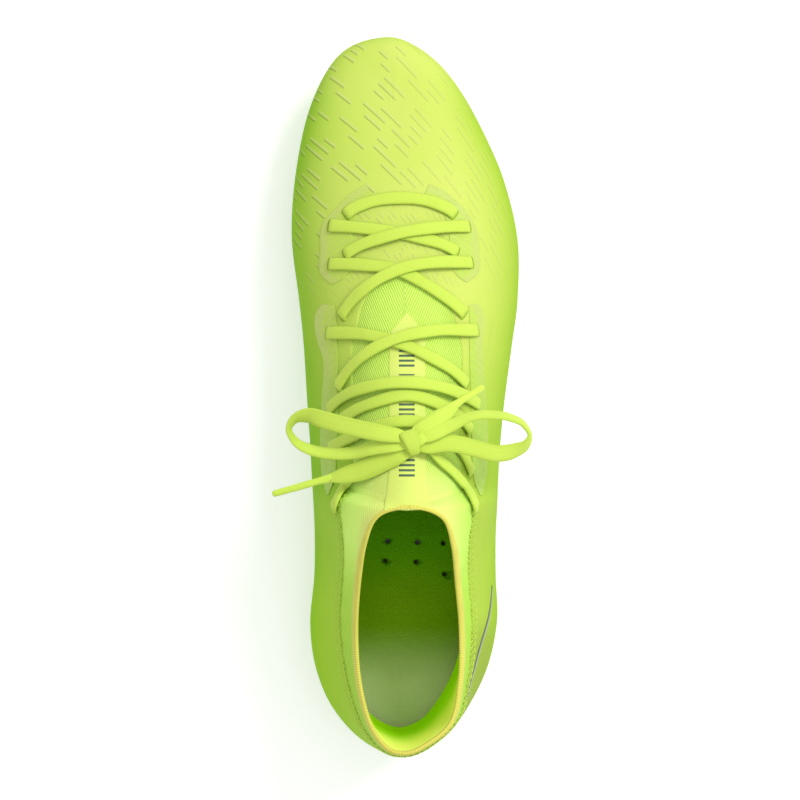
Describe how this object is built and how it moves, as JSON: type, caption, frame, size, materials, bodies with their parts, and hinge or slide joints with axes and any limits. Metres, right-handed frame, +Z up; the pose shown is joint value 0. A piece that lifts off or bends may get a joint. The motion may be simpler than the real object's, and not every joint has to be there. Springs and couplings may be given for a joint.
{
  "type": "soccer cleat",
  "caption": "Low-cut firm-ground soccer cleat for the right foot with a knitted ankle collar, laced throat, tied bow and moulded studs, bending at the ball of the foot.",
  "frame": {"origin": "on the ground under the middle of the shoe, the bow left out, with the stud tips at z = 0", "axes": "+Y to the toe, +Z up, +X to the outer side of the right foot"},
  "size_m": [0.1002, 0.2857, 0.1133],
  "materials": {
    "skin": "moulded textured skin, neon yellow-green",
    "knit": "fine ribbed knit",
    "strip": "smooth heat-pressed strip",
    "band": "ribbed elastic band",
    "overlay": "thin translucent film",
    "lace": "flat woven lace",
    "aglet": "heat-shrunk film",
    "lining": "brushed lining",
    "sockliner": "knit-topped foam",
    "board": "stitched fibre board",
    "stiffener": "thermoformed sheet",
    "plate": "moulded plate",
    "stud": "moulded stud tip",
    "shank": "fibre-filled strip"
  },
  "bodies": {
    "rear": {"upper_flex_zone": "skin", "upper_rear": "skin", "throat_knit": "knit", "ankle_collar": "knit", "throat_strip": "strip", "collar_binding": "band", "eyestay_medial_front": "overlay", "eyestay_medial_rear": "overlay", "eyestay_lateral_front": "overlay", "eyestay_lateral_rear": "overlay", "lace_2_under": "lace", "lace_2_over": "lace", "lace_3_under": "lace", "lace_3_over": "lace", "lace_4_under": "lace", "lace_4_over": "lace", "lace_5_under": "lace", "lace_5_over": "lace", "lace_6": "lace", "lace_end_medial": "lace", "lace_end_lateral": "lace", "bow_knot": "lace", "bow_loop_medial": "lace", "bow_loop_lateral": "lace", "bow_tail_medial": "lace", "bow_tail_lateral": "lace", "aglet_medial": "aglet", "aglet_lateral": "aglet", "heel_lining": "lining", "sockliner_rear": "sockliner", "lasting_board_rear": "board", "heel_counter": "stiffener", "plate_rear": "plate", "stud_medial_3": "stud", "stud_lateral_3": "stud", "stud_heel_medial_1": "stud", "stud_heel_lateral_1": "stud", "stud_heel_medial_2": "stud", "stud_heel_lateral_2": "stud", "midfoot_shank": "shank"},
    "forefoot": {"upper_toe": "skin", "toe_puff": "stiffener", "plate_forefoot": "plate", "lasting_board_forefoot": "board", "sockliner_forefoot": "sockliner", "stud_medial_1": "stud", "stud_lateral_1": "stud", "stud_centre": "stud", "stud_medial_2": "stud", "stud_lateral_2": "stud", "lace_bar_1": "lace"}
  },
  "joints": [
    {"name": "forefoot_flex", "type": "hinge", "parent": "rear", "child": "forefoot", "pos_m": [0.0005, 0.058, 0.0216], "axis": [0.9902, -0.1398, 0], "range_deg": [0, 30], "stiffness_Nm_per_rad": 12, "deforming": ["upper_flex_zone", "eyestay_medial_front", "eyestay_lateral_front", "lace_2_under", "lace_2_over", "lace_3_under", "lace_3_over", "lace_bar_1"]}
  ]
}
